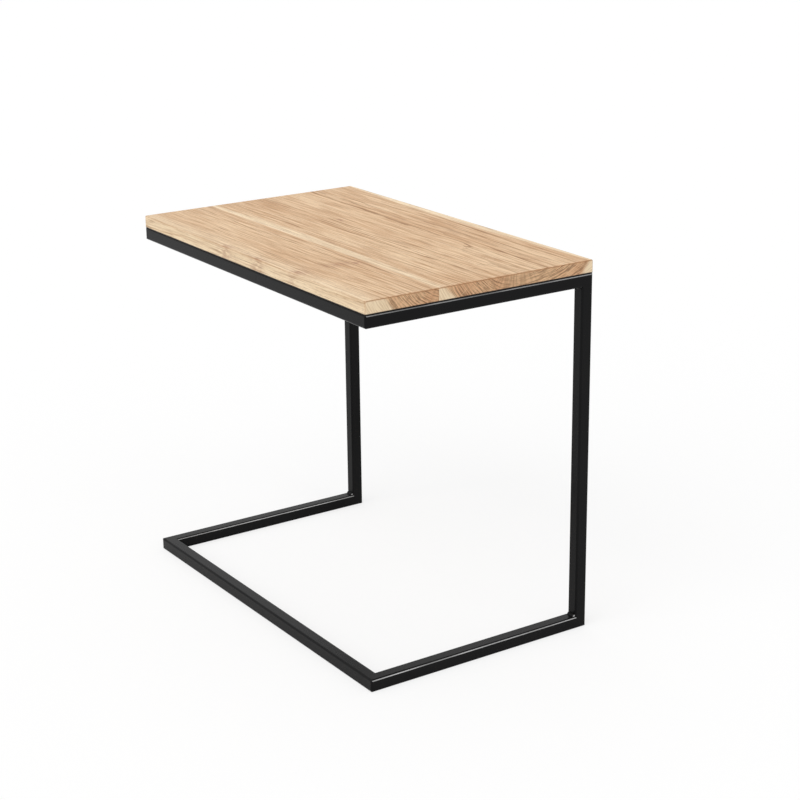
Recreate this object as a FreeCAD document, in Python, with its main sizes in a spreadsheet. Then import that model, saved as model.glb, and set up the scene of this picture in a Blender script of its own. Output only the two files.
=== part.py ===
"""C-shaped side table: an edge-glued oak top screwed to a welded frame of square steel tube.

Millimetres. The origin is on the floor under the middle of the table. X runs along the long side from
left to right, Y from the open front to the uprights at the rear, and Z up.
"""
import FreeCAD
import Part
import Sketcher
import os
from math import radians

Vector = FreeCAD.Vector
Rotation = FreeCAD.Rotation

# Driving dimensions
SIZES = {
    # Whole table
    "table_length": 665,
    "table_depth": 400,
    "table_height": 590,
    # Square steel tube, with the radius of its outer corners
    "tube_side": 20,
    "tube_wall": 1.5,
    "tube_radius": 3,
    # How far a mitre's cutting profile reaches past the tube, and the radius of its ground outer edge
    "mitre_margin": 1,
    "mitre_radius": 3,
    # Oak top
    "top_thickness": 20,
    "front_stave_width": 123,
    "oak_edge_radius": 2.5,
    "oak_lower_radius": 0.8,
    # Weld beads in the inner corners
    "weld_leg": 4,
    "weld_face_radius": 4.5,
    # Wood screws that hold the top; the inset is from the ends of the long rails
    "screw_inset": 90,
    "screw_diameter": 4.5,
    "screw_length": 16,
    "screw_tip": 5,
    "head_diameter": 8.5,
    "head_height": 3,
    "head_round": 2,
    # Cross recess in the screw heads
    "recess_span": 4.4,
    "recess_blade": 1.1,
    "recess_depth": 1.8,
    # Washers under the screw heads
    "washer_diameter": 10,
    "washer_thickness": 1,
    # How much wider each hole is than what goes in it, and how much deeper a pilot hole is
    "washer_clearance": 0.8,
    "access_clearance": 1,
    "rail_clearance": 1,
    "pilot_clearance": 0.1,
    "pilot_spare_depth": 1,
}

# Lengths under this count as nothing when edges are picked out
SAME_PLACE = 1e-6

doc = FreeCAD.newDocument("side_table")
sheet = doc.addObject("Spreadsheet::Sheet", "sizes")
for row, (alias, number) in enumerate(SIZES.items(), start=1):
    sheet.set(f"A{row}", alias)
    sheet.set(f"B{row}", str(number))
    sheet.setAlias(f"B{row}", alias)
doc.recompute()

# Places that several pieces share
LEFT = "(-sizes.table_length / 2)"
RIGHT = "(sizes.table_length / 2)"
FRONT = "(-sizes.table_depth / 2)"
REAR = "(sizes.table_depth / 2)"
OAK_UNDERSIDE = "(sizes.table_height - sizes.top_thickness)"
RAIL_UNDERSIDE = f"({OAK_UNDERSIDE} - sizes.tube_side)"
SCREW_SEAT = f"({OAK_UNDERSIDE} - sizes.tube_wall - sizes.washer_thickness)"
HALF_TUBE = "sizes.tube_side / 2"

# Fixings along each rail of the top frame, measured from the rail's left or front end
LONG_RAIL_FIXINGS = [
    "sizes.screw_inset",
    "sizes.table_length / 2",
    "sizes.table_length - sizes.screw_inset",
]
SIDE_RAIL_FIXINGS = ["sizes.table_depth / 2"]

# The same fixings in plan, measured from the left and the front of the table
FRONT_FIXINGS = [(along, HALF_TUBE) for along in LONG_RAIL_FIXINGS]
REAR_FIXINGS = [(along, f"sizes.table_depth - {HALF_TUBE}") for along in LONG_RAIL_FIXINGS]
LEFT_FIXINGS = [(HALF_TUBE, along) for along in SIDE_RAIL_FIXINGS]
RIGHT_FIXINGS = [(f"sizes.table_length - {HALF_TUBE}", along) for along in SIDE_RAIL_FIXINGS]
ALL_FIXINGS = FRONT_FIXINGS + REAR_FIXINGS + LEFT_FIXINGS + RIGHT_FIXINGS

# Where a turned piece's own X, Y and Z point; the X of a level tube points up
ALONG_Z = Rotation()
ALONG_X = Rotation(Vector(0, 0, 1), Vector(0, -1, 0), Vector(1, 0, 0))
ALONG_Y = Rotation(Vector(0, 0, 1), Vector(1, 0, 0), Vector(0, 1, 0))
BEAD_FRONT_UP = Rotation(Vector(0, -1, 0), Vector(0, 0, 1), Vector(-1, 0, 0))
BEAD_FRONT_DOWN = Rotation(Vector(0, -1, 0), Vector(0, 0, -1), Vector(1, 0, 0))
BEAD_LEFT_DOWN = Rotation(Vector(-1, 0, 0), Vector(0, 0, -1), Vector(0, -1, 0))
BEAD_RIGHT_DOWN = Rotation(Vector(1, 0, 0), Vector(0, 0, -1), Vector(0, 1, 0))


def value(expression):
    """The present number of an expression on the sheet."""
    return float(sheet.evalExpression(expression))


def place(piece, x, y, z, rotation=ALONG_Z):
    """Turns a piece and ties its position to the sheet."""
    piece.Placement = FreeCAD.Placement(Vector(), rotation)
    for axis, expression in (("x", x), ("y", y), ("z", z)):
        piece.setExpression(f"Placement.Base.{axis}", expression)


# Sketches

def new_sketch(body, role):
    """A sketch on one of the body's own origin planes."""
    plane = next(feature for feature in body.Origin.OriginFeatures if feature.Role == role)
    sketch = body.newObject("Sketcher::SketchObject", f"{body.Name}_sketch")
    sketch.AttachmentSupport = [(plane, "")]
    sketch.MapMode = "FlatFace"
    return sketch


def constrain(sketch, kind, *elements):
    """A geometric constraint of a sketch."""
    sketch.addConstraint(Sketcher.Constraint(kind, *elements))


def dimension(sketch, kind, *elements, size):
    """A driving dimension of a sketch, tied to the sheet."""
    index = sketch.addConstraint(Sketcher.Constraint(kind, *elements, value(size)))
    sketch.setExpression(f"Constraints[{index}]", size)


def from_origin(sketch, kind, element, point, size, sign=1):
    """A dimension from the sketch's origin to a point on its positive or its negative side."""
    ends = (-1, 1, element, point) if sign > 0 else (element, point, -1, 1)
    dimension(sketch, kind, *ends, size=size)


def outline(sketch, points):
    """A closed outline of straight lines, of which the level and the upright ones are held so."""
    ends = points[1:] + points[:1]
    for line, ((x, y), (next_x, next_y)) in enumerate(zip(points, ends)):
        sketch.addGeometry(Part.LineSegment(Vector(x, y, 0), Vector(next_x, next_y, 0)))
        if y == next_y:
            constrain(sketch, "Horizontal", line)
        elif x == next_x:
            constrain(sketch, "Vertical", line)
    for line in range(len(points)):
        constrain(sketch, "Coincident", line, 2, (line + 1) % len(points), 1)


def centred_rectangle(sketch, width, height):
    """A rectangle about the sketch's origin."""
    x = value(width) / 2
    y = value(height) / 2
    outline(sketch, [(-x, -y), (x, -y), (x, y), (-x, y)])
    constrain(sketch, "Symmetric", 0, 1, 2, 1, -1, 1)
    dimension(sketch, "Distance", 0, size=width)
    dimension(sketch, "Distance", 1, size=height)


def rounded_square(sketch, side, radius):
    """A square with rounded corners about the sketch's origin."""
    half = value(side) / 2
    corner = value(radius)
    flat = half - corner
    first = sketch.GeometryCount
    lines = [first + 2 * quarter for quarter in range(4)]
    arcs = [line + 1 for line in lines]
    for quarter in range(4):
        turn = Rotation(Vector(0, 0, 1), 90 * quarter)
        start = turn.multVec(Vector(-flat, -half, 0))
        end = turn.multVec(Vector(flat, -half, 0))
        circle = Part.Circle(turn.multVec(Vector(flat, -flat, 0)), Vector(0, 0, 1), corner)
        sketch.addGeometry(Part.LineSegment(start, end))
        sketch.addGeometry(Part.ArcOfCircle(circle, radians(90 * quarter - 90), radians(90 * quarter)))
    for quarter in range(4):
        constrain(sketch, "Tangent", lines[quarter], 2, arcs[quarter], 1)
        constrain(sketch, "Tangent", arcs[quarter], 2, lines[(quarter + 1) % 4], 1)
        constrain(sketch, "Vertical" if quarter % 2 else "Horizontal", lines[quarter])
    for arc in arcs[1:]:
        constrain(sketch, "Equal", arcs[0], arc)
    constrain(sketch, "Symmetric", arcs[0], 3, arcs[2], 3, -1, 1)
    dimension(sketch, "DistanceX", lines[3], 1, lines[1], 1, size=side)
    dimension(sketch, "DistanceY", lines[0], 1, lines[2], 1, size=side)
    dimension(sketch, "Radius", arcs[0], size=radius)


def circles(sketch, centres, diameter):
    """Equal circles; a centre with no first coordinate lies on the sketch's upright axis."""
    for circle, (across, along) in enumerate(centres):
        centre = Vector(value(across) if across else 0, value(along), 0)
        sketch.addGeometry(Part.Circle(centre, Vector(0, 0, 1), value(diameter) / 2))
        if across:
            from_origin(sketch, "DistanceX", circle, 3, across)
        else:
            constrain(sketch, "PointOnObject", circle, 3, -2)
        from_origin(sketch, "DistanceY", circle, 3, along)
        if circle:
            constrain(sketch, "Equal", 0, circle)
    dimension(sketch, "Diameter", 0, size=diameter)


# Features

def pad(body, sketch, length):
    """Raises a sketch along its normal."""
    feature = body.newObject("PartDesign::Pad", f"{body.Name}_pad")
    feature.Profile = sketch
    feature.setExpression("Length", length)
    return feature


def cut_through(body, sketch, ways="Symmetric", along_normal=False):
    """Cuts a sketch through all that lies on both sides of its plane, or on one side of it."""
    feature = body.newObject("PartDesign::Pocket", f"{body.Name}_cut")
    feature.Profile = sketch
    feature.Type = "ThroughAll"
    feature.SideType = ways
    feature.Reversed = along_normal


def cut_into(body, sketch, depth):
    """Cuts a sketch into the body along the sketch's normal."""
    feature = body.newObject("PartDesign::Pocket", f"{body.Name}_cut")
    feature.Profile = sketch
    feature.Reversed = True
    feature.setExpression("Length", depth)


def round_edges(body, base, wanted, radius):
    """Rounds the edges of a feature that pass a test."""
    doc.recompute()
    edges = enumerate(base.Shape.Edges, start=1)
    feature = body.newObject("PartDesign::Fillet", f"{body.Name}_round")
    feature.Base = (base, [f"Edge{number}" for number, edge in edges if wanted(edge)])
    feature.setExpression("Radius", radius)
    return feature


# Square tube, drawn along its own Z from 0 to its length

# The plane across a mitre whose short face looks along the tube's own X or Y
MITRE_PLANES = {"x": "XZ_Plane", "y": "YZ_Plane"}


def mitre(body, short_face, length=None):
    """Cuts one end of a tube at 45 degrees, so that the named face becomes the shorter one.

    The face is +x, -x, +y or -y in the tube's own axes. The cut is at the start of the tube, or at its
    far end where the tube's length is given.
    """
    sign = 1 if short_face[0] == "+" else -1
    sketch = new_sketch(body, MITRE_PLANES[short_face[1]])
    margin = value("sizes.mitre_margin")
    reach = sign * (value(HALF_TUBE) + margin)
    leg = value("sizes.tube_side") + 2 * margin
    heel = value(length) + margin if length else -margin
    peak = heel - leg if length else heel + leg
    outline(sketch, [(reach, heel), (-reach, heel), (reach, peak)])
    constrain(sketch, "Equal", 0, 2)
    dimension(sketch, "Distance", 0, size="sizes.tube_side + 2 * sizes.mitre_margin")
    from_origin(sketch, "DistanceX", 0, 1, f"{HALF_TUBE} + sizes.mitre_margin", sign)
    if length:
        from_origin(sketch, "DistanceY", 0, 1, f"{length} + sizes.mitre_margin")
    else:
        from_origin(sketch, "DistanceY", 0, 1, "sizes.mitre_margin", sign=-1)
    cut_through(body, sketch)


def ground_edge(body, short_face, length=None):
    """Rounds the outer edge that a mitre leaves at one end, as grinding the weld flush does."""
    side = -1 if short_face[0] == "+" else 1
    inwards = -1 if length else 1
    sketch = new_sketch(body, MITRE_PLANES[short_face[1]])
    radius = value("sizes.mitre_radius")
    corner = Vector(side * value(HALF_TUBE), value(length) if length else 0, 0)
    on_face = corner + Vector(0, inwards * radius, 0)
    on_end = corner - Vector(side * radius, 0, 0)
    centre = on_face + on_end - corner
    crown = centre + (corner - centre).normalize() * radius
    # The arc runs anticlockwise from its first end to its last.
    first, last = (on_end, on_face) if side == inwards else (on_face, on_end)
    sketch.addGeometry(Part.LineSegment(last, corner))
    sketch.addGeometry(Part.LineSegment(corner, first))
    sketch.addGeometry(Part.Arc(first, crown, last))
    upright = 0 if side == inwards else 1
    constrain(sketch, "Vertical", upright)
    constrain(sketch, "Horizontal", 1 - upright)
    constrain(sketch, "Coincident", 0, 2, 1, 1)
    constrain(sketch, "Tangent", 1, 2, 2, 1)
    constrain(sketch, "Tangent", 2, 2, 0, 1)
    dimension(sketch, "Radius", 2, size="sizes.mitre_radius")
    from_origin(sketch, "DistanceX", 0, 2, HALF_TUBE, side)
    if length:
        from_origin(sketch, "DistanceY", 0, 2, length)
    else:
        constrain(sketch, "PointOnObject", 0, 2, -1)
    cut_through(body, sketch)


def tube(label, length, start=None, end=None):
    """A tube of the frame's section, with a mitre at its start and its end where a face is given."""
    body = doc.addObject("PartDesign::Body", label)
    section = new_sketch(body, "XY_Plane")
    rounded_square(section, "sizes.tube_side", "sizes.tube_radius")
    bore_side = "sizes.tube_side - 2 * sizes.tube_wall"
    rounded_square(section, bore_side, "sizes.tube_radius - sizes.tube_wall")
    pad(body, section, length)
    if start:
        mitre(body, start)
        ground_edge(body, start)
    if end:
        mitre(body, end, length)
        ground_edge(body, end, length)
    return body


def drill(rail, fixings):
    """Screw holes in the upper wall of a level rail, and wider holes under them to reach the screws."""
    centres = [(None, along) for along in fixings]
    upper = new_sketch(rail, "YZ_Plane")
    circles(upper, centres, "sizes.screw_diameter + sizes.rail_clearance")
    cut_through(rail, upper, "One side", along_normal=True)
    lower = new_sketch(rail, "YZ_Plane")
    circles(lower, centres, "sizes.washer_diameter + sizes.access_clearance")
    cut_through(rail, lower, "One side")


def top_frame():
    """Four rails that carry the oak, mitred to a rectangle."""
    middle = f"{RAIL_UNDERSIDE} + {HALF_TUBE}"
    front = tube("top_front_rail", "sizes.table_length", start="-y", end="-y")
    place(front, LEFT, f"{FRONT} + {HALF_TUBE}", middle, ALONG_X)
    rear = tube("top_rear_rail", "sizes.table_length", start="+y", end="+y")
    place(rear, LEFT, f"{REAR} - {HALF_TUBE}", middle, ALONG_X)
    left = tube("top_left_rail", "sizes.table_depth", start="+y", end="+y")
    place(left, f"{LEFT} + {HALF_TUBE}", FRONT, middle, ALONG_Y)
    right = tube("top_right_rail", "sizes.table_depth", start="-y", end="-y")
    place(right, f"{RIGHT} - {HALF_TUBE}", FRONT, middle, ALONG_Y)
    for rail in (front, rear):
        drill(rail, LONG_RAIL_FIXINGS)
    for rail in (left, right):
        drill(rail, SIDE_RAIL_FIXINGS)
    return [front, rear, left, right]


def uprights():
    """Two posts under the rear corners of the top frame, mitred at the foot to the runners."""
    left = tube("left_upright", RAIL_UNDERSIDE, start="-y")
    place(left, f"{LEFT} + {HALF_TUBE}", f"{REAR} - {HALF_TUBE}", "0")
    right = tube("right_upright", RAIL_UNDERSIDE, start="-y")
    place(right, f"{RIGHT} - {HALF_TUBE}", f"{REAR} - {HALF_TUBE}", "0")
    return [left, right]


def base():
    """Two runners and a front rail on the floor, open at the rear between the uprights."""
    left = tube("left_runner", "sizes.table_depth", start="+y", end="+x")
    place(left, f"{LEFT} + {HALF_TUBE}", FRONT, HALF_TUBE, ALONG_Y)
    right = tube("right_runner", "sizes.table_depth", start="-y", end="+x")
    place(right, f"{RIGHT} - {HALF_TUBE}", FRONT, HALF_TUBE, ALONG_Y)
    front = tube("base_front_rail", "sizes.table_length", start="-y", end="-y")
    place(front, LEFT, f"{FRONT} + {HALF_TUBE}", HALF_TUBE, ALONG_X)
    return [left, right, front]


# Weld beads, drawn with their legs along their own X and Y

def bead(label):
    """A bead with two equal legs and a domed face, as long as the flat of the tube."""
    body = doc.addObject("PartDesign::Body", label)
    sketch = new_sketch(body, "XY_Plane")
    leg = value("sizes.weld_leg")
    radius = value("sizes.weld_face_radius")
    # The centre of the face lies behind the corner by as much along X as along Y.
    setback = ((2 * radius ** 2 - leg ** 2) ** 0.5 - leg) / 2
    toe_x = Vector(leg, 0, 0)
    toe_y = Vector(0, leg, 0)
    crown = Vector(1, 1, 0).normalize() * radius - Vector(setback, setback, 0)
    sketch.addGeometry(Part.LineSegment(Vector(), toe_x))
    sketch.addGeometry(Part.Arc(toe_x, crown, toe_y))
    sketch.addGeometry(Part.LineSegment(toe_y, Vector()))
    constrain(sketch, "Coincident", 0, 1, -1, 1)
    constrain(sketch, "Coincident", 0, 2, 1, 1)
    constrain(sketch, "Coincident", 1, 2, 2, 1)
    constrain(sketch, "Coincident", 2, 2, 0, 1)
    constrain(sketch, "Horizontal", 0)
    constrain(sketch, "Vertical", 2)
    constrain(sketch, "Equal", 0, 2)
    dimension(sketch, "Distance", 0, size="sizes.weld_leg")
    dimension(sketch, "Radius", 1, size="sizes.weld_face_radius")
    length = pad(body, sketch, "sizes.tube_side - 2 * sizes.tube_radius")
    length.SideType = "Symmetric"
    return body


def welds():
    """Beads in the inner corners at the foot and the head of each upright."""
    beads = []
    upright_face = f"{REAR} - sizes.tube_side"
    upright_middle = f"{REAR} - {HALF_TUBE}"
    sides = (
        ("left", f"{LEFT} + {HALF_TUBE}", f"{LEFT} + sizes.tube_side", BEAD_RIGHT_DOWN),
        ("right", f"{RIGHT} - {HALF_TUBE}", f"{RIGHT} - sizes.tube_side", BEAD_LEFT_DOWN),
    )
    for side, middle, inner_face, inwards in sides:
        foot = bead(f"{side}_foot_weld")
        place(foot, middle, upright_face, "sizes.tube_side", BEAD_FRONT_UP)
        head = bead(f"{side}_head_weld")
        place(head, middle, upright_face, RAIL_UNDERSIDE, BEAD_FRONT_DOWN)
        rear = bead(f"{side}_rear_weld")
        place(rear, inner_face, upright_middle, RAIL_UNDERSIDE, inwards)
        beads += [foot, head, rear]
    return beads


# Oak top, each stave drawn from its own left front corner

def stave(label, width, seam, fixings):
    """One board of the top, with pilot holes from below and all edges eased but those at the seam."""
    seam_y = value(seam)

    def upper(edge):
        return edge.CenterOfMass.z > SAME_PLACE and abs(edge.CenterOfMass.y - seam_y) > SAME_PLACE

    def lower(edge):
        return edge.CenterOfMass.z < SAME_PLACE and abs(edge.CenterOfMass.y - seam_y) > SAME_PLACE

    body = doc.addObject("PartDesign::Body", label)
    board = new_sketch(body, "XY_Plane")
    length = value("sizes.table_length")
    outline(board, [(0, 0), (length, 0), (length, value(width)), (0, value(width))])
    constrain(board, "Coincident", 0, 1, -1, 1)
    dimension(board, "Distance", 0, size="sizes.table_length")
    dimension(board, "Distance", 1, size=width)
    blank = pad(body, board, "sizes.top_thickness")
    eased = round_edges(body, blank, upper, "sizes.oak_edge_radius")
    round_edges(body, eased, lower, "sizes.oak_lower_radius")
    pilots = new_sketch(body, "XY_Plane")
    circles(pilots, fixings, "sizes.screw_diameter + sizes.pilot_clearance")
    in_oak = "sizes.screw_length - sizes.washer_thickness - sizes.tube_wall"
    cut_into(body, pilots, f"{in_oak} + sizes.pilot_spare_depth")
    return body


def oak_top():
    """Two staves, flush with the outside of the top frame."""
    front_width = "sizes.front_stave_width"
    front = stave("front_stave", front_width, front_width, FRONT_FIXINGS)
    place(front, LEFT, FRONT, OAK_UNDERSIDE)
    behind_seam = [
        (from_left, f"{from_front} - {front_width}")
        for from_left, from_front in REAR_FIXINGS + LEFT_FIXINGS + RIGHT_FIXINGS
    ]
    rear = stave("rear_stave", f"sizes.table_depth - {front_width}", "0", behind_seam)
    place(rear, LEFT, f"{FRONT} + {front_width}", OAK_UNDERSIDE)
    return [front, rear]


# Fixings, each drawn once on its own axis

def screw():
    """A pan-head wood screw, point up, with its head's seat at 0; its thread is left plain."""
    body = doc.addObject("PartDesign::Body", "screw")
    profile = new_sketch(body, "XZ_Plane")
    head_radius = value("sizes.head_diameter") / 2
    radius = value("sizes.screw_diameter") / 2
    head_end = -value("sizes.head_height")
    point = value("sizes.screw_length")
    shoulder = point - value("sizes.screw_tip")
    corners = [(0, head_end), (head_radius, head_end), (head_radius, 0)]
    corners += [(radius, 0), (radius, shoulder), (0, point)]
    outline(profile, corners)
    constrain(profile, "PointOnObject", 0, 1, -2)
    constrain(profile, "PointOnObject", 1, 2, -1)
    from_origin(profile, "DistanceY", 0, 1, "sizes.head_height", sign=-1)
    from_origin(profile, "DistanceX", 1, 2, "sizes.head_diameter / 2")
    from_origin(profile, "DistanceX", 3, 1, "sizes.screw_diameter / 2")
    from_origin(profile, "DistanceY", 3, 2, "sizes.screw_length - sizes.screw_tip")
    from_origin(profile, "DistanceY", 4, 2, "sizes.screw_length")
    turned = body.newObject("PartDesign::Revolution", "screw_turned")
    turned.Profile = profile
    turned.ReferenceAxis = (profile, ["V_Axis"])
    round_edges(
        body,
        turned,
        lambda edge: all(abs(vertex.Z - head_end) < SAME_PLACE for vertex in edge.Vertexes),
        "sizes.head_round",
    )
    blades = (
        ("sizes.recess_span", "sizes.recess_blade"),
        ("sizes.recess_blade", "sizes.recess_span"),
    )
    for width, height in blades:
        recess = new_sketch(body, "XY_Plane")
        recess.setExpression("AttachmentOffset.Base.z", "-sizes.head_height")
        centred_rectangle(recess, width, height)
        cut_into(body, recess, "sizes.recess_depth")
    return body


def washer():
    """A flat washer, with its lower face at 0."""
    body = doc.addObject("PartDesign::Body", "washer")
    ring = new_sketch(body, "XY_Plane")
    bore = "sizes.screw_diameter + sizes.washer_clearance"
    for circle, diameter in enumerate(("sizes.washer_diameter", bore)):
        ring.addGeometry(Part.Circle(Vector(), Vector(0, 0, 1), value(diameter) / 2))
        constrain(ring, "Coincident", circle, 3, -1, 1)
        dimension(ring, "Diameter", circle, size=diameter)
    pad(body, ring, "sizes.washer_thickness")
    return body


def at_every_fixing(label, master):
    """One node that holds a copy of the master at each fixing, on the seat of the screw heads."""
    copies = []
    for from_left, from_front in ALL_FIXINGS:
        copy = doc.addObject("App::Link", f"{label}_copy")
        copy.LinkedObject = master
        place(copy, f"{LEFT} + {from_left}", f"{FRONT} + {from_front}", SCREW_SEAT)
        copies.append(copy)
    group = doc.addObject("Part::Compound", label)
    group.Links = copies
    return group


def fixings():
    """The screws, driven from inside the rails through washers and rail into the oak."""
    return [at_every_fixing("top_screws", screw()), at_every_fixing("screw_washers", washer())]


def check(nodes):
    """Stops if any object failed or any node has no sound shape."""
    failed = [item.Label for item in doc.Objects if {"Invalid", "Error"} & set(item.State)]
    failed += [node.Label for node in nodes if node.Shape.isNull() or not node.Shape.isValid()]
    if failed:
        raise RuntimeError(f"not built: {', '.join(failed)}")


def write(nodes):
    """Writes each node to a file of its own name."""
    os.makedirs("parts", exist_ok=True)
    for node in nodes:
        node.Shape.exportStep(f"parts/{node.Label}.step")


pieces = top_frame() + uprights() + base() + welds() + oak_top() + fixings()
doc.recompute()
check(pieces)
write(pieces)
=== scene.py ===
"""Looks of the C-shaped side table: oak top, powder-coated tubes, weld beads and plated screws.

Everything is in metres in the frame of the model: X along the long side, Y from the open front to
the uprights at the rear, Z up from the floor.
"""
from collections import namedtuple
import math

import bmesh
import bpy
from mathutils import Matrix, Vector


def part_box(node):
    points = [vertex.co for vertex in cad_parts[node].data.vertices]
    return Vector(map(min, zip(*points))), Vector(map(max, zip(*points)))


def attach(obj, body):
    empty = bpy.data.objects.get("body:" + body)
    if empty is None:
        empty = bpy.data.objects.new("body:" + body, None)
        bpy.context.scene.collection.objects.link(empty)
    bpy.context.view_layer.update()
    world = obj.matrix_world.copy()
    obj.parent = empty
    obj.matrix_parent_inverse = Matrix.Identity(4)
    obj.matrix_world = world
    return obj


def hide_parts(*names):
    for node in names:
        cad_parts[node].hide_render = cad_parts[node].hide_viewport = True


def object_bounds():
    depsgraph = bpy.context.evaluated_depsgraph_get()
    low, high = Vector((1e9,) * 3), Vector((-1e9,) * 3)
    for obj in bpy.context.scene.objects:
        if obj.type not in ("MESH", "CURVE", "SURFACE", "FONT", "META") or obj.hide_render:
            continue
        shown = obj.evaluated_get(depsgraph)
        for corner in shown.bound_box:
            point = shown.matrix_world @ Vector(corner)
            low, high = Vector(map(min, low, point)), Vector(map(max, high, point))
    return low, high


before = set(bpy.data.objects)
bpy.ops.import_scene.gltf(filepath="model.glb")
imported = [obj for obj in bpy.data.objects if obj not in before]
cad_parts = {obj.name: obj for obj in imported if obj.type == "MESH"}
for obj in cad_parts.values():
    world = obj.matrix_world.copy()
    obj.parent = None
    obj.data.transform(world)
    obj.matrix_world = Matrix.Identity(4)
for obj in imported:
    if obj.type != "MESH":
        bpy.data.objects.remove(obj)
cad_low, cad_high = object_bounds()
MIDDLE = (cad_low + cad_high) / 2
MM = 0.001

# The photograph's camera: where it stands as seen from the table, and what it looks at
VIEW_AZIMUTH = 56.34
VIEW_ELEVATION = 18.22
VIEW_ROLL = -0.65
VIEW_DISTANCE = 3.000
LENS = 84.14
AIM = MIDDLE + Vector((0.0278, 0.0584, 0.0232))

# Light, as shares of the light at which a colour renders as it is written: what the surroundings give and
# what they show, what the floor throws back, and how much of its shade the floor shows, directly and in
# gloss
AMBIENT = 0.53
BACKGROUND = 1.0
FLOOR_BOUNCE = 0.45
FLOOR_SHADE = 0.30
FLOOR_GLOSS_SHADE = 1.0
# How wide the floor is, and how far it lies below the table
FLOOR_SPAN = 80.0
FLOOR_DROP = 0.2 * MM
# Each lamp: direction to it, how wide it looks from the table in degrees, level. Gloss shows the white
# surroundings in their place
LAMPS = {
    "key_softbox": ((0.25, -0.78, 0.56), 60.0, 0.53),
    "side_softbox": ((0.85, -0.10, 0.52), 60.0, 0.20),
    "overhead_softbox": ((-0.35, 0.10, 0.93), 50.0, 0.08),
}


def srgb(red, green, blue):
    """A colour as it shows on screen, 0 to 255, as the linear colour that shaders take."""
    def linear(level):
        share = level / 255
        return share / 12.92 if share <= 0.04045 else ((share + 0.055) / 1.055) ** 2.4
    return (linear(red), linear(green), linear(blue), 1.0)


# Node helpers

def add(tree, kind, inputs=None, **settings):
    """Adds a node. Each input is a value, or the output of another node."""
    made = tree.nodes.new(kind)
    for name, setting in settings.items():
        setattr(made, name, setting)
    for name, value in (inputs or {}).items():
        set_input(tree, made.inputs[name], value)
    return made


def set_input(tree, socket, value):
    """Sets an input to a value, or links it to the output of another node."""
    if isinstance(value, bpy.types.NodeSocket):
        tree.links.new(value, socket)
    else:
        socket.default_value = value


def calc(tree, operation, *values):
    """One step of arithmetic."""
    return add(tree, "ShaderNodeMath", dict(enumerate(values)), operation=operation).outputs[0]


def minus(tree, first, second):
    return calc(tree, "SUBTRACT", first, second)


def total(tree, *values):
    """The sum of several outputs."""
    result = values[0]
    for value in values[1:]:
        result = calc(tree, "ADD", result, value)
    return result


def product(tree, *values):
    """Several outputs multiplied."""
    result = values[0]
    for value in values[1:]:
        result = calc(tree, "MULTIPLY", result, value)
    return result


def remap(tree, value, from_low, from_high, to_low=0.0, to_high=1.0, smooth=True):
    """Turns one range of values into another, and holds what lies outside it at its ends."""
    inputs = {
        "Value": value,
        "From Min": from_low,
        "From Max": from_high,
        "To Min": to_low,
        "To Max": to_high,
    }
    kind = "SMOOTHSTEP" if smooth else "LINEAR"
    return add(tree, "ShaderNodeMapRange", inputs, interpolation_type=kind).outputs["Result"]


def noise(tree, place, patch, detail, offset=(0.0, 0.0, 0.0)):
    """Noise from 0 to 1 about 0.5, whose patches have the given length along X, Y and Z."""
    scale = [1 / length for length in patch]
    spread = add(tree, "ShaderNodeMapping", {"Vector": place, "Location": offset, "Scale": scale})
    inputs = {"Vector": spread.outputs[0], "Scale": 1.0, "Detail": detail}
    return add(tree, "ShaderNodeTexNoise", inputs).outputs[0]


def even(length):
    """The patch of a noise that is alike in all directions."""
    return (length, length, length)


def swing(tree, value, reach):
    """Turns noise about 0.5 into a swing of at most half the reach to either side of 0."""
    return product(tree, minus(tree, value, 0.5), reach)


def blend(tree, share, first, second):
    """Mixes two colours."""
    made = add(tree, "ShaderNodeMix", data_type="RGBA")
    for socket, value in ((made.inputs[0], share), (made.inputs[6], first), (made.inputs[7], second)):
        set_input(tree, socket, value)
    return made.outputs[2]


def tinted(tree, colour, amount, tint, share):
    """A colour with a tint laid over it where the amount is 1, at most by the share."""
    return blend(tree, product(tree, amount, share), colour, tint)


def object_place(tree):
    """The place of a point in the frame, since every node of the model sits at its origin."""
    return add(tree, "ShaderNodeTexCoord").outputs["Object"]


def facing(tree):
    """The X, Y and Z of the way that the surface faces."""
    normal = add(tree, "ShaderNodeNewGeometry").outputs["Normal"]
    return add(tree, "ShaderNodeSeparateXYZ", {"Vector": normal}).outputs


def new_material(name):
    """An empty material with its shader; returns the material, its tree and the shader."""
    material = bpy.data.materials.new(name)
    material.use_nodes = True
    tree = material.node_tree
    tree.nodes.clear()
    shader = add(tree, "ShaderNodeBsdfPrincipled")
    add(tree, "ShaderNodeOutputMaterial", {"Surface": shader.outputs[0]})
    return material, tree, shader


def feed(tree, shader, **outputs):
    """Links outputs to the shader's inputs, named with underscores for spaces."""
    for name, output in outputs.items():
        tree.links.new(output, shader.inputs[name.replace("_", " ")])


def add_bump(tree, height, strength, distance):
    """The surface's normal with a relief on it."""
    inputs = {"Strength": strength, "Distance": distance, "Height": height}
    return add(tree, "ShaderNodeBump", inputs).outputs[0]


# Oak

OAK_LIGHT = srgb(239, 208, 169)
OAK_WARM = srgb(203, 159, 115)
OAK_LINE = srgb(131, 84, 40)
OAK_SAPWOOD = srgb(249, 226, 191)
OAK_SAP_LINE = srgb(206, 170, 130)
OAK_PORE = srgb(132, 92, 58)
OAK_END = srgb(236, 195, 152)
OAK_END_WARM = srgb(223, 175, 133)
OAK_END_LINE = srgb(98, 58, 30)
OAK_MARK = srgb(150, 92, 64)
OAK_BURNISH = srgb(150, 106, 70)
# Painted shade where the oak meets the frame
OAK_JOINT_SHADE = srgb(18, 13, 10)
OAK_SPECULAR = 0.3
# On dense wood, and on the lines of pores
OAK_ROUGHNESS = (0.50, 0.60)

RING_SPACING = 4.6 * MM
# The porous band of a ring, in shares of its spacing: where it comes up and where it fades
BAND_RISE = (0.0, 0.09)
BAND_FADE = (0.11, 0.44)
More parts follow.
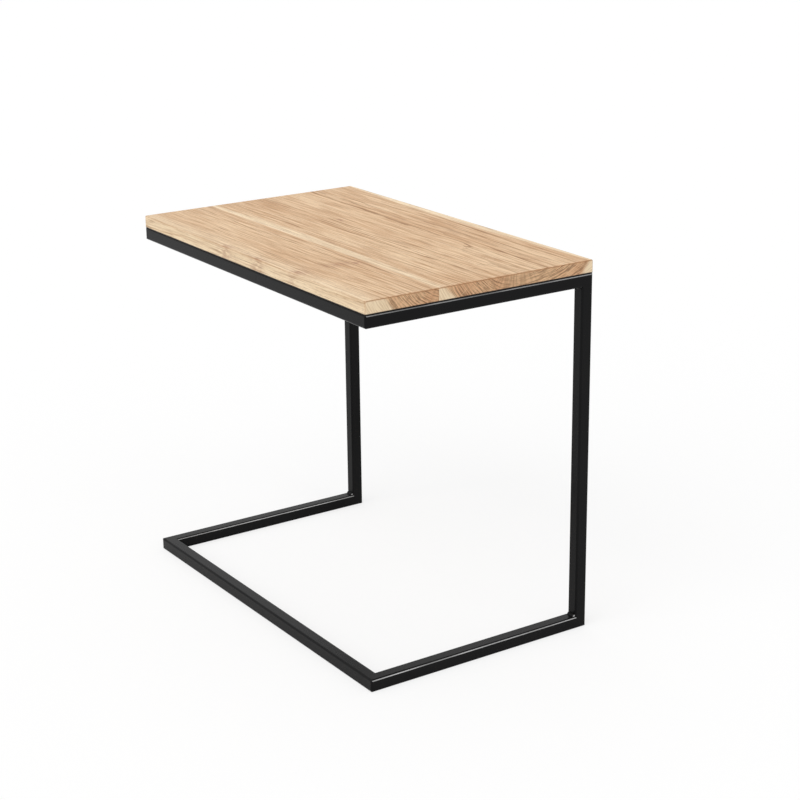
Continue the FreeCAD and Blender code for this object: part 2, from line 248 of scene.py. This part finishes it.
# The slope of the rings, 0 to 1, up to which they count as level and from which they count as steep
RING_SLOPE = (0.15, 0.60)
# How strong level rings are next to steep ones, on the long grain and on the ends, and how strong the
# streaks of the rays on the ends are at steep rings next to level ones
LEVEL_LINE = 0.45
LEVEL_END_LINE = 0.52
STEEP_COMB = 0.35
# Over how wide a strip across the pith a log goes from its front half to its rear half
HEART_TURN = 40 * MM
# How far the pith and the rings waver in all, and how much of the rings' wavering is left on the ends
BEND_REACH = 14 * MM
WAVE_REACH = 5 * MM
RIPPLE_REACH = 6 * MM
CRINKLE_REACH = 2.4 * MM
UNEVEN_REACH = 9 * MM
WANDER_REACH = 9 * MM
END_CALM = 0.35
# The edge of the sapwood: how far it wavers, and over what depth it starts, on the long grain and the ends
SAP_WOBBLE = 6 * MM
SAP_EDGE = (-2.5 * MM, 3.0 * MM)
SAP_END_EDGE = (-4.0 * MM, 4.0 * MM)
SAP_END_PALING = 9 * MM
# How far a surface faces along the board, 0 to 1, where it starts to count as an end and where it is one
END_FACING = (0.45, 0.85)
# The rounded edges of the top. Their burnish falls off away from the ends and from the upper face: over
# which distances, and from which strength to which
ARRIS_WIDTH = 2.4 * MM
BURNISH_END = (3 * MM, 5 * MM, 0.85, 0.45)
BURNISH_FACE = (2 * MM, 4 * MM, 1.0, 0.45)
# The height of the painted shade at the foot of the outer faces
JOINT_SHADE_HEIGHT = 1.6 * MM
OAK_RELIEF = 0.15 * MM

# The oak's noises: the length of their patches and their detail. A patch of metres is even over the board
OAK_NOISES = {
    # Along, across and up in the board
    "bend": ((400 * MM, 9.0, 9.0), 1.0),
    "wave": ((280 * MM, 34 * MM, 34 * MM), 2.0),
    "ripple": ((110 * MM, 13 * MM, 13 * MM), 2.0),
    "crinkle": ((60 * MM, 5 * MM, 5 * MM), 1.0),
    "wander": ((220 * MM, 60 * MM, 60 * MM), 1.0),
    "wobble": ((160 * MM, 30 * MM, 30 * MM), 2.0),
    "patch": ((300 * MM, 50 * MM, 50 * MM), 2.0),
    "streak": ((300 * MM, 7 * MM, 7 * MM), 2.0),
    "fibre": ((70 * MM, 2 * MM, 2 * MM), 3.0),
    "dash": ((95 * MM, 1.6 * MM, 1.6 * MM), 1.0),
    "pores": ((11 * MM, 0.7 * MM, 0.7 * MM), 1.0),
    "mottle": ((16 * MM, 6 * MM, 6 * MM), 3.0),
    "clear": ((200 * MM, 30 * MM, 12 * MM), 1.0),
    # Along the rings, out from the pith and round it
    "uneven": ((3.0, 13 * MM, 1.0), 1.0),
    "unbroken": ((150 * MM, 4.5 * MM, 50 * MM), 2.0),
    "rays": ((12 * MM, 30 * MM, 0.7 * MM), 1.0),
    "thin": ((50 * MM, 1.7 * MM, 22 * MM), 2.0),
    "comb": ((50 * MM, 40 * MM, 4 * MM), 2.0),
}
# The level of a noise at which its mark starts, and the level at which the mark is full
OAK_CUTS = {
    "dash": (0.56, 0.72),
    "pores": (0.57, 0.72),
    "mottle": (0.34, 0.60),
    "clear": (0.40, 0.62),
    "unbroken": (0.38, 0.56),
    "rays": (0.56, 0.70),
    "thin": (0.42, 0.66),
    "comb": (0.40, 0.64),
}

# The log that a board of the top was cut from: where its pith runs in Y and Z, how round its rings are to
# the front and to the rear of the pith, the middle of its heartwood and how far this reaches to the front
# and to the rear, how much thinner the sapwood is at the ends than halfway, how far the pith falls and
# drifts to the rear per metre, the depth over which the sapwood pales, a seed for its noise, and places
# where rings bulge or the wood is stained: a centre, a reach and an amount
Log = namedtuple("Log", "pith roundness core heartwood taper fall drift paling seed bulges stains")
LOGS = {
    "front_stave": Log(
        pith=(-50 * MM, 660 * MM),
        roundness=(1.0, 1.0),
        core=(-50 * MM, 660 * MM),
        heartwood=(136 * MM, 136 * MM),
        taper=0.0,
        fall=0.006,
        drift=0.012,
        paling=36 * MM,
        seed=3.1,
        bulges=[],
        stains=[
            ((140 * MM, -92 * MM), (15 * MM, 8 * MM), 0.55),
            ((136 * MM, -122 * MM), (11 * MM, 24 * MM), 0.40),
            ((140 * MM, -188 * MM), (15 * MM, 14 * MM), 0.60),
            ((-62 * MM, -197 * MM), (18 * MM, 8 * MM), 0.55),
            ((38 * MM, -197 * MM), (20 * MM, 7 * MM), 0.50),
        ],
    ),
    "rear_stave": Log(
        pith=(62 * MM, 645 * MM),
        roundness=(1.0, 0.6),
        core=(33 * MM, 685 * MM),
        heartwood=(130 * MM, 177 * MM),
        taper=8 * MM,
        fall=-0.008,
        drift=0.0,
        paling=4 * MM,
        seed=7.7,
        bulges=[
            ((125 * MM, 98 * MM), (40 * MM, 16 * MM), -4 * MM),
            ((300 * MM, 45 * MM), (32 * MM, 15 * MM), 4 * MM),
        ],
        stains=[((-112 * MM, 40 * MM), (9 * MM, 2.6 * MM), 0.8)],
    ),
}

# A point of the board: its place, that place along, across and up, and 1 on an end of the board
Point = namedtuple("Point", "place along across up end")
# The point in the log: its depth in the sapwood, its distance from the wavering pith, a vector that follows
# the rings (along them, out from the pith and round it) and one in the board that runs with the grain
Spot = namedtuple("Spot", "depth radius grain board")
# What grows in the log at that point: line, dash, pores and rays are 1 where the mark is, band is 1 in the
# porous part of a ring, chance is a random number of the ring, flat is 1 where the rings lie level, and
# fibre, streak and patch are noise about 0.5
Marks = namedtuple("Marks", "line band chance flat dash pores rays fibre streak patch")


def board_point(tree):
    """The point that is being shaded."""
    place = object_place(tree)
    along, across, up = add(tree, "ShaderNodeSeparateXYZ", {"Vector": place}).outputs
    end = remap(tree, calc(tree, "ABSOLUTE", facing(tree)[0]), *END_FACING)
    return Point(place, along, across, up, end)


def oak_noise(tree, name, place, log):
    """One of the oak's noises, shifted by the seed of the log; the dashes have a shift of their own."""
    patch, detail = OAK_NOISES[name]
    shift = (log.seed, 3.0, 1.0) if name == "dash" else (log.seed, log.seed * 1.7, log.seed * 0.6)
    return noise(tree, place, patch, detail, shift)


def noise_mark(tree, name, place, log, least=0.0):
    """One of the oak's noises as a mark: 1 where it is full, and the least where it is missing."""
    return remap(tree, oak_noise(tree, name, place, log), *OAK_CUTS[name], least, 1.0)


def mound(tree, point, centre, reach):
    """A smooth mound from 0 to 1 about a centre on the board, with a reach along and across the grain."""
    parts = []
    for coordinate, middle, length in zip((point.along, point.across), centre, reach):
        offset = calc(tree, "DIVIDE", minus(tree, coordinate, middle), length)
        parts.append(product(tree, offset, offset))
    return calc(tree, "EXPONENT", product(tree, total(tree, *parts), -1.0))


def length_of(tree, first, second):
    """The length of a vector with two components at right angles."""
    return calc(tree, "SQRT", total(tree, product(tree, first, first), product(tree, second, second)))


def sap_depth(tree, point, log):
    """How deep a point lies in the sapwood, below 0 in the heartwood."""
    rise = minus(tree, point.up, log.core[1])
    aside = minus(tree, point.across, log.core[0])
    heartwood = remap(tree, aside, -HEART_TURN, HEART_TURN, *log.heartwood)
    out = calc(tree, "DIVIDE", point.along, cad_high.x)
    thinner = product(tree, out, out, log.taper)
    return minus(tree, length_of(tree, rise, aside), total(tree, heartwood, thinner))


def log_spot(tree, point, log):
    """Where a point lies in the log, whose rings waver less on the ends of the board."""
    bend = swing(tree, oak_noise(tree, "bend", point.place, log), BEND_REACH)
    fall = product(tree, point.along, log.fall)
    rise = total(tree, minus(tree, point.up, log.pith[1]), fall, bend)
    drift = product(tree, point.along, -log.drift)
    aside = total(tree, minus(tree, point.across, log.pith[0]), drift)
    aside = product(tree, aside, remap(tree, aside, -HEART_TURN, HEART_TURN, *log.roundness))

    waver = total(
        tree,
        swing(tree, oak_noise(tree, "wave", point.place, log), WAVE_REACH),
        swing(tree, oak_noise(tree, "ripple", point.place, log), RIPPLE_REACH),
        swing(tree, oak_noise(tree, "crinkle", point.place, log), CRINKLE_REACH),
    )
    waver = product(tree, waver, remap(tree, point.end, 0.0, 1.0, 1.0, END_CALM))
    radius = total(tree, length_of(tree, rise, aside), waver)
    for centre, reach, lift in log.bulges:
        radius = total(tree, radius, product(tree, mound(tree, point, centre, reach), lift))

    turn = product(tree, calc(tree, "ARCTAN2", aside, rise), log.heartwood[0])
    grain = add(tree, "ShaderNodeCombineXYZ", {"X": point.along, "Y": radius, "Z": turn}).outputs[0]
    wander = swing(tree, oak_noise(tree, "wander", point.place, log), WANDER_REACH)
    across = total(tree, point.across, drift, wander)
    board = add(tree, "ShaderNodeCombineXYZ", {"X": point.along, "Y": across, "Z": point.up}).outputs[0]
    return Spot(sap_depth(tree, point, log), radius, grain, board)


def oak_marks(tree, point, spot, log):
    """Rings, pores, fibres and rays.

    The rings are of uneven width: each starts with a band of pores and fades into dense wood. A ring that
    lies nearly flat in the face of the board shows as a broad pale flame.
    """
    aside = calc(tree, "ABSOLUTE", minus(tree, point.across, log.pith[0]))
    flat = remap(tree, calc(tree, "DIVIDE", aside, spot.radius), *RING_SLOPE, 1.0, 0.0)
    sharp = remap(tree, flat, 0.0, 1.0, 1.0, LEVEL_LINE, smooth=False)
    uneven = swing(tree, oak_noise(tree, "uneven", spot.grain, log), UNEVEN_REACH)
    ring = calc(tree, "DIVIDE", total(tree, spot.radius, uneven), RING_SPACING)
    number = calc(tree, "FLOOR", ring)
    share = calc(tree, "FRACT", ring)
    chance = add(tree, "ShaderNodeTexWhiteNoise", {"W": number}, noise_dimensions="1D").outputs["Value"]
    band = product(tree, remap(tree, share, *BAND_RISE), remap(tree, share, *BAND_FADE, 1.0, 0.0))
    bold = remap(tree, chance, 0.15, 0.90, 0.20, 1.0)
    unbroken = noise_mark(tree, "unbroken", spot.grain, log, least=0.18)
    pores = noise_mark(tree, "pores", point.place, log)
    return Marks(
        line=product(tree, band, bold, unbroken, sharp),
        band=band,
        chance=chance,
        flat=flat,
        dash=noise_mark(tree, "dash", spot.board, log),
        pores=product(tree, pores, remap(tree, band, 0.0, 0.8, 0.3, 1.0)),
        rays=noise_mark(tree, "rays", spot.grain, log),
        fibre=oak_noise(tree, "fibre", spot.board, log),
        streak=oak_noise(tree, "streak", spot.board, log),
        patch=oak_noise(tree, "patch", point.place, log),
    )


def long_grain(tree, point, edge, marks, log):
    """The colour of the top and the long sides; edge is the depth in the sapwood."""
    tone = total(
        tree,
        swing(tree, marks.streak, 0.7),
        swing(tree, marks.patch, 0.8),
        swing(tree, marks.fibre, 1.6),
    )
    heart = blend(tree, remap(tree, tone, -0.45, 0.45), OAK_LIGHT, OAK_WARM)
    heart = tinted(tree, heart, marks.line, OAK_LINE, share=0.80)
    heart = tinted(tree, heart, marks.dash, OAK_LINE, share=0.50)
    pale = blend(tree, remap(tree, tone, -0.35, 0.45, 0.0, 0.48), OAK_SAPWOOD, OAK_SAP_LINE)
    pale = tinted(tree, pale, marks.line, OAK_SAP_LINE, share=0.60)
    pale = tinted(tree, pale, marks.dash, OAK_LINE, share=0.45)
    paling = remap(tree, edge, 0.0, log.paling, 0.15, 1.0)
    colour = blend(tree, product(tree, remap(tree, edge, *SAP_EDGE), paling), heart, pale)
    colour = tinted(tree, colour, remap(tree, marks.fibre, 0.45, 0.70), OAK_LINE, share=0.20)
    colour = tinted(tree, colour, marks.pores, OAK_PORE, share=0.50)
    colour = tinted(tree, colour, marks.rays, OAK_LINE, share=0.16)
    mottle = noise_mark(tree, "mottle", point.place, log)
    for centre, reach, strength in log.stains:
        stain = product(tree, mound(tree, point, centre, reach), mottle)
        colour = tinted(tree, colour, stain, OAK_MARK, share=strength)
    return colour


def end_grain(tree, point, spot, edge, marks, log):
    """The colour of the ends; edge is the depth in the sapwood.

    Below the pith, where the rings lie level, they fade and the rays show as upright streaks.
    """
    bold = remap(tree, marks.chance, 0.1, 0.9, 0.45, 1.0)
    clear = noise_mark(tree, "clear", point.place, log, least=0.38)
    sharp = remap(tree, marks.flat, 0.0, 1.0, 1.0, LEVEL_END_LINE, smooth=False)
    thin = noise_mark(tree, "thin", spot.grain, log)
    comb = noise_mark(tree, "comb", spot.grain, log)
    comb = product(tree, comb, remap(tree, marks.flat, 0.0, 1.0, STEEP_COMB, 1.0, smooth=False))
    heart = blend(tree, remap(tree, marks.patch, 0.35, 0.65), OAK_END, OAK_END_WARM)
    heart = blend(tree, product(tree, marks.band, bold, clear, sharp), heart, OAK_END_LINE)
    heart = tinted(tree, heart, product(tree, thin, sharp), OAK_END_LINE, share=0.60)
    heart = tinted(tree, heart, comb, OAK_END_LINE, share=0.28)
    heart = tinted(tree, heart, marks.flat, OAK_END_LINE, share=0.10)
    heart = tinted(tree, heart, marks.pores, OAK_PORE, share=0.40)
    heart = tinted(tree, heart, marks.rays, OAK_LIGHT, share=0.35)
    pale = tinted(tree, OAK_SAPWOOD, thin, OAK_SAP_LINE, share=0.45)
    paling = remap(tree, edge, 0.0, SAP_END_PALING, 0.85, 1.0)
    return blend(tree, product(tree, remap(tree, edge, *SAP_END_EDGE), paling), heart, pale)


def from_faces(tree, point):
    """How far a point lies from the ends, the long sides and the upper face of the top."""
    end = minus(tree, cad_high.x, calc(tree, "ABSOLUTE", point.along))
    side = minus(tree, cad_high.y, calc(tree, "ABSOLUTE", point.across))
    face = minus(tree, cad_high.z, point.up)
    return end, side, face


def burnish(tree, point):
    """The rounded arrises of the top, burnished dark on the upper ones and most of all at the ends."""
    end, side, face = from_faces(tree, point)
    least = calc(tree, "MINIMUM", end, calc(tree, "MINIMUM", side, face))
    most = calc(tree, "MAXIMUM", end, calc(tree, "MAXIMUM", side, face))
    second = minus(tree, total(tree, end, side, face), total(tree, least, most))
    arris = remap(tree, second, 0.3 * ARRIS_WIDTH, ARRIS_WIDTH, 1.0, 0.0)
    at_end = remap(tree, end, *BURNISH_END)
    upper = remap(tree, face, *BURNISH_FACE)
    return product(tree, arris, at_end, upper)


def joint_shade(tree, point, node):
    """Painted shade, 1 along the lower edge of a board's outer faces, where oak and frame meet."""
    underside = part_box(node)[0][2]
    end, side, _ = from_faces(tree, point)
    outer = remap(tree, calc(tree, "MINIMUM", end, side), ARRIS_WIDTH, 2 * ARRIS_WIDTH, 1.0, 0.0)
    height = minus(tree, point.up, underside)
    lower = remap(tree, height, 0.7 * JOINT_SHADE_HEIGHT, 1.2 * JOINT_SHADE_HEIGHT, 1.0, 0.0)
    return product(tree, outer, lower)


def oak(node):
    """Solid oak, whose rings on the top, the edges and the ends belong together."""
    log = LOGS[node]
    material, tree, shader = new_material(f"oak_{node}")
    point = board_point(tree)
    spot = log_spot(tree, point, log)
    marks = oak_marks(tree, point, spot, log)
    edge = total(tree, spot.depth, swing(tree, oak_noise(tree, "wobble", point.place, log), SAP_WOBBLE))
    colour = long_grain(tree, point, edge, marks, log)
    colour = blend(tree, point.end, colour, end_grain(tree, point, spot, edge, marks, log))
    colour = blend(tree, burnish(tree, point), colour, OAK_BURNISH)
    # Painted shade along the foot of the outer faces, just above the frame
    colour = tinted(tree, colour, joint_shade(tree, point, node), OAK_JOINT_SHADE, share=0.97)

    rough = remap(tree, marks.line, 0.0, 1.0, *OAK_ROUGHNESS)
    rough = total(tree, rough, swing(tree, marks.fibre, 0.12))
    relief = total(
        tree,
        product(tree, marks.pores, -1.0),
        product(tree, marks.line, -0.5),
        swing(tree, marks.fibre, 0.6),
    )
    normal = add_bump(tree, relief, strength=0.25, distance=OAK_RELIEF)
    feed(tree, shader, Base_Color=colour, Roughness=rough, Normal=normal)
    shader.inputs["Specular IOR Level"].default_value = OAK_SPECULAR
    return material


# Steel

COAT_DEEP = (0.0030, 0.0030, 0.0032, 1.0)
COAT_PALE = (0.0062, 0.0062, 0.0065, 1.0)
# The pale grey of the painted highlight along the upper edges of the tubes
COAT_HIGHLIGHT = (0.58, 0.58, 0.58, 1.0)
COAT_ROUGHNESS = (0.25, 0.30)
COAT_SPECULAR = 0.10
COAT_CLOUD = 120 * MM
COAT_SPECK = 1.1 * MM
COAT_PEEL = 2.4 * MM
COAT_RELIEF = 0.12 * MM
# Which way an edge with the painted highlight faces, 0 to 1: how far sideways at least, and from where to
# where upward
HIGHLIGHT_SIDEWAYS = (0.55, 0.80)
HIGHLIGHT_FROM = (0.10, 0.28)
HIGHLIGHT_TO = (0.46, 0.70)
# How uneven the painted highlight is: the size of its patches, the span of their noise, and its strength at
# its two ends
HIGHLIGHT_PATCH = 90 * MM
HIGHLIGHT_LEVEL = (0.30, 0.65, 0.45, 1.0)
# How much of the painted highlight of the base is left at the height of the top
HIGHLIGHT_ABOVE = 0.62
ZINC_DULL = (0.52, 0.54, 0.57, 1.0)
ZINC_BRIGHT = (0.70, 0.71, 0.72, 1.0)
ZINC_ROUGHNESS = (0.28, 0.42)
ZINC_CLOUD = 4 * MM
ZINC_MARK = (0.6 * MM, 0.6 * MM, 6 * MM)
ZINC_RELIEF = 0.05 * MM
# The span of a cloudy noise over which it changes the finish
CLOUD_SPAN = (0.3, 0.7)


def painted_highlight(tree, place):
    """Painted highlight, 0 to 1, along the upper edges of the tubes that run from front to rear and face
    sideways and upward.
    """
    toward = facing(tree)
    sideways = remap(tree, calc(tree, "ABSOLUTE", toward[0]), *HIGHLIGHT_SIDEWAYS)
    above = remap(tree, toward[2], *HIGHLIGHT_FROM)
    below = remap(tree, toward[2], *HIGHLIGHT_TO, 1.0, 0.0)
    patchy = remap(tree, noise(tree, place, even(HIGHLIGHT_PATCH), 3.0), *HIGHLIGHT_LEVEL)
    up = add(tree, "ShaderNodeSeparateXYZ", {"Vector": place}).outputs["Z"]
    height = remap(tree, up, cad_low.z, cad_high.z, 1.0, HIGHLIGHT_ABOVE, smooth=False)
    return product(tree, sideways, above, below, patchy, height)


def powder_coat():
    """Satin black powder coat with a fine orange peel, and a painted highlight along some upper edges."""
    material, tree, shader = new_material("black_powder_coat")
    place = object_place(tree)
    cloud = noise(tree, place, even(COAT_CLOUD), 2.0)
    speck = noise(tree, place, even(COAT_SPECK), 2.0)
    tone = remap(tree, total(tree, swing(tree, cloud, 1.0), swing(tree, speck, 0.5)), -0.4, 0.4)
    colour = blend(tree, tone, COAT_DEEP, COAT_PALE)
    # Painted highlight: the coat turns pale grey along the upper edges that face sideways
    colour = blend(tree, painted_highlight(tree, place), colour, COAT_HIGHLIGHT)
    rough = total(tree, remap(tree, cloud, *CLOUD_SPAN, *COAT_ROUGHNESS), swing(tree, speck, 0.06))
    peel = noise(tree, place, even(COAT_PEEL), 3.0)
    normal = add_bump(tree, peel, strength=0.10, distance=COAT_RELIEF)
    feed(tree, shader, Base_Color=colour, Roughness=rough, Normal=normal)
    shader.inputs["Specular IOR Level"].default_value = COAT_SPECULAR
    return material


def zinc():
    """Bright zinc plating, a little cloudy, with fine drawing marks."""
    material, tree, shader = new_material("zinc_plating")
    place = object_place(tree)
    cloud = noise(tree, place, even(ZINC_CLOUD), 3.0)
    marks = noise(tree, place, ZINC_MARK, 2.0)
    colour = blend(tree, remap(tree, cloud, *CLOUD_SPAN), ZINC_DULL, ZINC_BRIGHT)
    rough = total(tree, remap(tree, cloud, *CLOUD_SPAN, *ZINC_ROUGHNESS), swing(tree, marks, 0.15))
    normal = add_bump(tree, marks, strength=0.15, distance=ZINC_RELIEF)
    feed(tree, shader, Base_Color=colour, Roughness=rough, Normal=normal)
    shader.inputs["Metallic"].default_value = 1.0
    return material


# Weld beads

# Each bead: the axis it runs along, and the two ways that its legs point out of the corner
BEADS = {
    "left_foot_weld": (0, (0, -1, 0), (0, 0, 1)),
    "right_foot_weld": (0, (0, -1, 0), (0, 0, 1)),
    "left_head_weld": (0, (0, -1, 0), (0, 0, -1)),
    "right_head_weld": (0, (0, -1, 0), (0, 0, -1)),
    "left_rear_weld": (1, (1, 0, 0), (0, 0, -1)),
    "right_rear_weld": (1, (-1, 0, 0), (0, 0, -1)),
}
BEAD_STEPS = 72
BEAD_FACETS = 12
BEAD_OVERRUN = 1.4 * MM
RIPPLE_PITCH = 1.5 * MM
RIPPLE_HEIGHT = 0.22 * MM
# How far the middle of a ripple runs ahead of its ends, as a share of the pitch
RIPPLE_BOW = 0.9
# How high the bead's face is domed, as a share of its leg
CROWN = 0.175
ROOT_SINK = 0.3 * MM
# The weld of each upright's head goes on round its outer sides, where it is ground flush
GROUND_HEADS = {
    "left_head_weld": ("left_upright", -1),
    "right_head_weld": ("right_upright", 1),
}
TUBE_RADIUS = 3.0 * MM
FILL_START = 1.0 * MM
FILL_FACETS = 8
# How much of the groove's depth is filled: not all, so that its inner face stays clear of the rail's
FILL_DEPTH = 0.98


def add_bead(shape, node, axis, first_leg, second_leg):
    """A fillet weld: a domed face with crescent ripples between two legs, running out at its ends."""
    low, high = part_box(node)
    first, second = Vector(first_leg), Vector(second_leg)
    leg = high[2] - low[2]
    half = (high[axis] - low[axis]) / 2 + BEAD_OVERRUN
    corner = Vector(low[i] if first[i] + second[i] > 0 else high[i] for i in range(3))
    corner[axis] = (low[axis] + high[axis]) / 2
    forward = Vector(1.0 if i == axis else 0.0 for i in range(3))
    outward = (first + second).normalized()
    rows = []
    for step in range(BEAD_STEPS + 1):
        reach = half * (2 * step / BEAD_STEPS - 1)
        run_out = max(0.0, abs(reach) - (half - leg)) / leg
        size = leg * math.sqrt(max(0.0, 1 - run_out ** 2)) + ROOT_SINK
        row = [shape.verts.new(corner + forward * reach - outward * ROOT_SINK)]
        for facet in range(BEAD_FACETS + 1):
            share = facet / BEAD_FACETS
            arch = 4 * share * (1 - share)
            turn = reach / RIPPLE_PITCH + RIPPLE_BOW * arch
            wave = turn - math.floor(turn)
            ripple = RIPPLE_HEIGHT * math.sqrt(arch) * (1 - wave) * size / leg
            point = corner + forward * reach + first * size * (1 - share) + second * size * share
            row.append(shape.verts.new(point + outward * (CROWN * size * arch + ripple)))
        rows.append(row)
    for face in skin(shape, rows):
        face.smooth = True


def quarter_turns():
    """The angles of a quarter circle, from 0 to a right angle."""
    return [math.pi / 2 * step / FILL_FACETS for step in range(FILL_FACETS + 1)]


def add_ground_fill(shape, upright, side):
    """The weld that fills the groove between an upright's end and the rounded lower edge of the rails."""
    low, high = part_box(upright)
    outer, inner = (high[0], low[0]) if side > 0 else (low[0], high[0])
    rear, joint = high[1], high[2]
    round_middle = Vector((outer - side * TUBE_RADIUS, rear - TUBE_RADIUS, joint))
    stops = [(Vector((outer, low[1] + FILL_START, joint)), Vector((side, 0, 0)))]
    for turn in quarter_turns():
        out = Vector((side * math.cos(turn), math.sin(turn), 0))
        stops.append((round_middle + out * TUBE_RADIUS, out))
    stops.append((Vector((inner + side * FILL_START, rear, joint)), Vector((0, 1, 0))))
    rows = []
    for edge, out in stops:
        row = [shape.verts.new(edge)]
        for turn in quarter_turns():
            sink = FILL_DEPTH * TUBE_RADIUS * (1 - math.cos(turn))
            lift = Vector((0, 0, TUBE_RADIUS * (1 - math.sin(turn))))
            row.append(shape.verts.new(edge - out * sink + lift))
        rows.append(row)
    skin(shape, rows)


def skin(shape, rows):
    """Closed faces over rows of points, one row per section, and over both ends."""
    faces = []
    for before, after in zip(rows, rows[1:]):
        for i in range(len(before)):
            j = (i + 1) % len(before)
            faces.append(shape.faces.new((before[i], before[j], after[j], after[i])))
    faces.append(shape.faces.new(rows[0]))
    faces.append(shape.faces.new(reversed(rows[-1])))
    bmesh.ops.recalc_face_normals(shape, faces=faces)
    return faces


def weld_beads(material):
    """Rippled beads in place of the plain ones."""
    for node, (axis, first_leg, second_leg) in BEADS.items():
        shape = bmesh.new()
        add_bead(shape, node, axis, first_leg, second_leg)
        if node in GROUND_HEADS:
            add_ground_fill(shape, *GROUND_HEADS[node])
        mesh = bpy.data.meshes.new(f"{node}_bead")
        shape.to_mesh(mesh)
        shape.free()
        mesh.materials.append(material)
        piece = bpy.data.objects.new(f"{node}_bead", mesh)
        bpy.context.scene.collection.objects.link(piece)
        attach(piece, "root")
        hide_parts(node)


# Floor, light and camera

def floor():
    """A pale floor that shows white where nothing shades it, and nothing from below."""
    material, tree, shader = new_material("pale_floor")
    shader.inputs["Roughness"].default_value = 1.0
    shader.inputs["Specular IOR Level"].default_value = 0.0
    shader.inputs["Emission Color"].default_value = (1.0, 1.0, 1.0, 1.0)
    seen = seen_directly(tree)
    gloss = add(tree, "ShaderNodeLightPath").outputs["Is Glossy Ray"]
    shade = remap(tree, gloss, 0.0, 1.0, FLOOR_SHADE, FLOOR_GLOSS_SHADE, smooth=False)
    tone = remap(tree, seen, 0.0, 1.0, FLOOR_BOUNCE, shade, smooth=False)
    glow = product(tree, seen, minus(tree, BACKGROUND, shade))
    feed(tree, shader, Base_Color=tone, Emission_Strength=glow)
    below = add(tree, "ShaderNodeNewGeometry").outputs["Backfacing"]
    clear = add(tree, "ShaderNodeBsdfTransparent").outputs[0]
    mixed = add(tree, "ShaderNodeMixShader", {0: below, 1: shader.outputs[0], 2: clear})
    output = next(n for n in tree.nodes if n.type == "OUTPUT_MATERIAL")
    tree.links.new(mixed.outputs[0], output.inputs["Surface"])

    half = FLOOR_SPAN / 2
    corners = [(-half, -half, 0), (half, -half, 0), (half, half, 0), (-half, half, 0)]
    mesh = bpy.data.meshes.new("floor")
    mesh.from_pydata(corners, [], [(0, 1, 2, 3)])
    mesh.materials.append(material)
    plane = bpy.data.objects.new("floor", mesh)
    plane.location.z = cad_low.z - FLOOR_DROP
    bpy.context.scene.collection.objects.link(plane)


def seen_directly(tree):
    """1 for what the camera, gloss or clear glass sees, 0 for light on its way to a matt surface."""
    path = add(tree, "ShaderNodeLightPath").outputs
    seen = calc(tree, "MAXIMUM", path["Is Camera Ray"], path["Is Glossy Ray"])
    return calc(tree, "MAXIMUM", seen, path["Is Transmission Ray"])


def studio():
    """White surroundings, with softer light from them than they show, and the lamps."""
    world = bpy.data.worlds.new("studio")
    world.use_nodes = True
    tree = world.node_tree
    tree.nodes.clear()
    level = remap(tree, seen_directly(tree), 0.0, 1.0, AMBIENT, BACKGROUND, smooth=False)
    background = add(tree, "ShaderNodeBackground", {"Color": (1.0, 1.0, 1.0, 1.0), "Strength": level})
    add(tree, "ShaderNodeOutputWorld", {"Surface": background.outputs[0]})
    bpy.context.scene.world = world
    for name, (direction, width, level) in LAMPS.items():
        softbox(name, direction, width, level)


def softbox(name, direction, width, level):
    """A far lamp with soft shadows, which lights near and far alike and doesn't show in gloss."""
    lamp = bpy.data.lights.new(name, "SUN")
    lamp.angle = math.radians(width)
    lamp.energy = level * math.pi
    place = bpy.data.objects.new(name, lamp)
    place.rotation_euler = Vector(direction).to_track_quat("Z", "Y").to_euler()
    place.visible_glossy = False
    bpy.context.scene.collection.objects.link(place)


def camera():
    """Stands where the photograph was taken from."""
    azimuth, elevation = math.radians(VIEW_AZIMUTH), math.radians(VIEW_ELEVATION)
    level = math.cos(elevation)
    back = Vector((math.sin(azimuth) * level, -math.cos(azimuth) * level, math.sin(elevation)))
    data = bpy.data.cameras.new("camera")
    data.lens = LENS
    made = bpy.data.objects.new("camera", data)
    upright = back.to_track_quat("Z", "Y").to_matrix().to_4x4()
    roll = Matrix.Rotation(math.radians(VIEW_ROLL), 4, "Z")
    made.matrix_world = Matrix.Translation(AIM + back * VIEW_DISTANCE) @ upright @ roll
    bpy.context.scene.collection.objects.link(made)
    bpy.context.scene.camera = made


def dress():
    """Gives every node of the model its finish."""
    coat, plating = powder_coat(), zinc()
    finishes = {node: oak(node) for node in LOGS}
    finishes |= {"top_screws": plating, "screw_washers": plating}
    for name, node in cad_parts.items():
        node.data.materials.clear()
        node.data.materials.append(finishes.get(name, coat))
    weld_beads(coat)


bpy.context.scene.view_settings.view_transform = "Standard"
dress()
floor()
studio()
camera()
